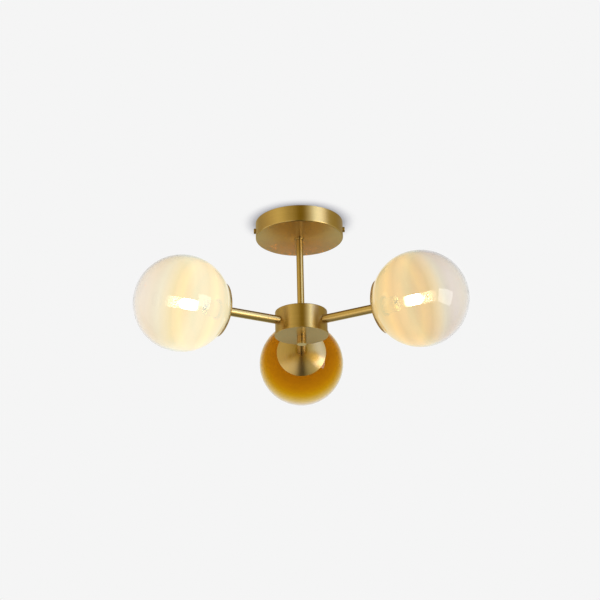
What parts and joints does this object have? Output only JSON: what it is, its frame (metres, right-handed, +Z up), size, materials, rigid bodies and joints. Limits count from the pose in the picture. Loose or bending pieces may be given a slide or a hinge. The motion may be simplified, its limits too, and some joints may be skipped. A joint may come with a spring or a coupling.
{
  "type": "semi flush ceiling light",
  "caption": "Semi-flush ceiling light: round brass canopy, short stem, drum hub and level arms that end in dished saucers with screw-on tinted glass globes over capsule lamps.",
  "frame": {"origin": "centre of the ceiling plane, at the middle of the bracket's slots and on the stem's axis", "axes": "+Z up into the ceiling; +Y along the back arm; +X to the right, along the bracket"},
  "size_m": [0.4258, 0.3852, 0.2087],
  "materials": {
    "satin_brass": "brushed and lacquered",
    "zinc_steel": "zinc plated",
    "screw_brass": "turned",
    "block_plastic": "moulded nylon",
    "live_insulation": "PVC",
    "neutral_insulation": "PVC",
    "earth_insulation": "PVC, green and yellow",
    "lead_insulation": "heat-resisting silicone",
    "socket_ceramic": "unglazed steatite",
    "seal_silicone": "clear silicone",
    "amber_glass": "clear glass, tinted amber towards the mouth",
    "lamp_glass": "clear quartz",
    "filament": "coiled tungsten, lit"
  },
  "bodies": {
    "fixture": {"canopy": "satin_brass", "ceiling_bracket": "zinc_steel", "canopy_screws": "satin_brass", "earth_screw": "zinc_steel", "terminal_block": "block_plastic", "terminal_screws": "screw_brass", "block_screw": "zinc_steel", "stem_tube": "satin_brass", "stem_collar": "satin_brass", "canopy_washer": "zinc_steel", "canopy_nut": "zinc_steel", "hub_drum": "satin_brass", "hub_cover": "satin_brass", "cap_nut": "satin_brass", "hub_earth_tag": "zinc_steel", "hub_nut": "zinc_steel", "arm_nuts": "zinc_steel", "live_wire": "live_insulation", "neutral_wire": "neutral_insulation", "earth_wire": "earth_insulation", "wire_connectors": "block_plastic", "arm_1": "satin_brass", "arm_wires_1": "lead_insulation", "saucer_1": "satin_brass", "lamp_sleeve_1": "satin_brass", "socket_1": "socket_ceramic", "contacts_1": "zinc_steel", "arm_2": "satin_brass", "arm_wires_2": "lead_insulation", "saucer_2": "satin_brass", "lamp_sleeve_2": "satin_brass", "socket_2": "socket_ceramic", "contacts_2": "zinc_steel", "arm_3": "satin_brass", "arm_wires_3": "lead_insulation", "saucer_3": "satin_brass", "lamp_sleeve_3": "satin_brass", "socket_3": "socket_ceramic", "contacts_3": "zinc_steel"},
    "seal_1": {"gasket_1": "seal_silicone"},
    "shade_1": {"globe_1": "amber_glass"},
    "lamp_1": {"bulb_glass_1": "lamp_glass", "bulb_pins_1": "zinc_steel", "filament_1": "filament"},
    "seal_2": {"gasket_2": "seal_silicone"},
    "shade_2": {"globe_2": "amber_glass"},
    "lamp_2": {"bulb_glass_2": "lamp_glass", "bulb_pins_2": "zinc_steel", "filament_2": "filament"},
    "seal_3": {"gasket_3": "seal_silicone"},
    "shade_3": {"globe_3": "amber_glass"},
    "lamp_3": {"bulb_glass_3": "lamp_glass", "bulb_pins_3": "zinc_steel", "filament_3": "filament"}
  },
  "joints": [
    {"name": "shade_travel_1", "type": "slide", "parent": "fixture", "child": "seal_1", "axis": [0, 1, 0], "range_m": [0, 0.006]},
    {"name": "shade_turn_1", "type": "hinge", "parent": "seal_1", "child": "shade_1", "pos_m": [0, 0.1745, -0.147], "axis": [0, 1, 0], "range_deg": [0, 720]},
    {"name": "lamp_pull_1", "type": "slide", "parent": "fixture", "child": "lamp_1", "axis": [0, 1, 0], "range_m": [0, 0.0113]},
    {"name": "shade_travel_2", "type": "slide", "parent": "fixture", "child": "seal_2", "axis": [-0.866, -0.5, 0], "range_m": [0, 0.006]},
    {"name": "shade_turn_2", "type": "hinge", "parent": "seal_2", "child": "shade_2", "pos_m": [-0.15112, -0.08725, -0.147], "axis": [-0.866, -0.5, 0], "range_deg": [0, 720]},
    {"name": "lamp_pull_2", "type": "slide", "parent": "fixture", "child": "lamp_2", "axis": [-0.866, -0.5, 0], "range_m": [0, 0.0113]},
    {"name": "shade_travel_3", "type": "slide", "parent": "fixture", "child": "seal_3", "axis": [0.866, -0.5, 0], "range_m": [0, 0.006]},
    {"name": "shade_turn_3", "type": "hinge", "parent": "seal_3", "child": "shade_3", "pos_m": [0.15112, -0.08725, -0.147], "axis": [0.866, -0.5, 0], "range_deg": [0, 720]},
    {"name": "lamp_pull_3", "type": "slide", "parent": "fixture", "child": "lamp_3", "axis": [0.866, -0.5, 0], "range_m": [0, 0.0113]}
  ],
  "couplings": [
    {"joint": "shade_travel_1", "follows": "shade_turn_1", "m_per_rad": 0.00047746},
    {"joint": "shade_travel_2", "follows": "shade_turn_2", "m_per_rad": 0.00047746},
    {"joint": "shade_travel_3", "follows": "shade_turn_3", "m_per_rad": 0.00047746}
  ]
}
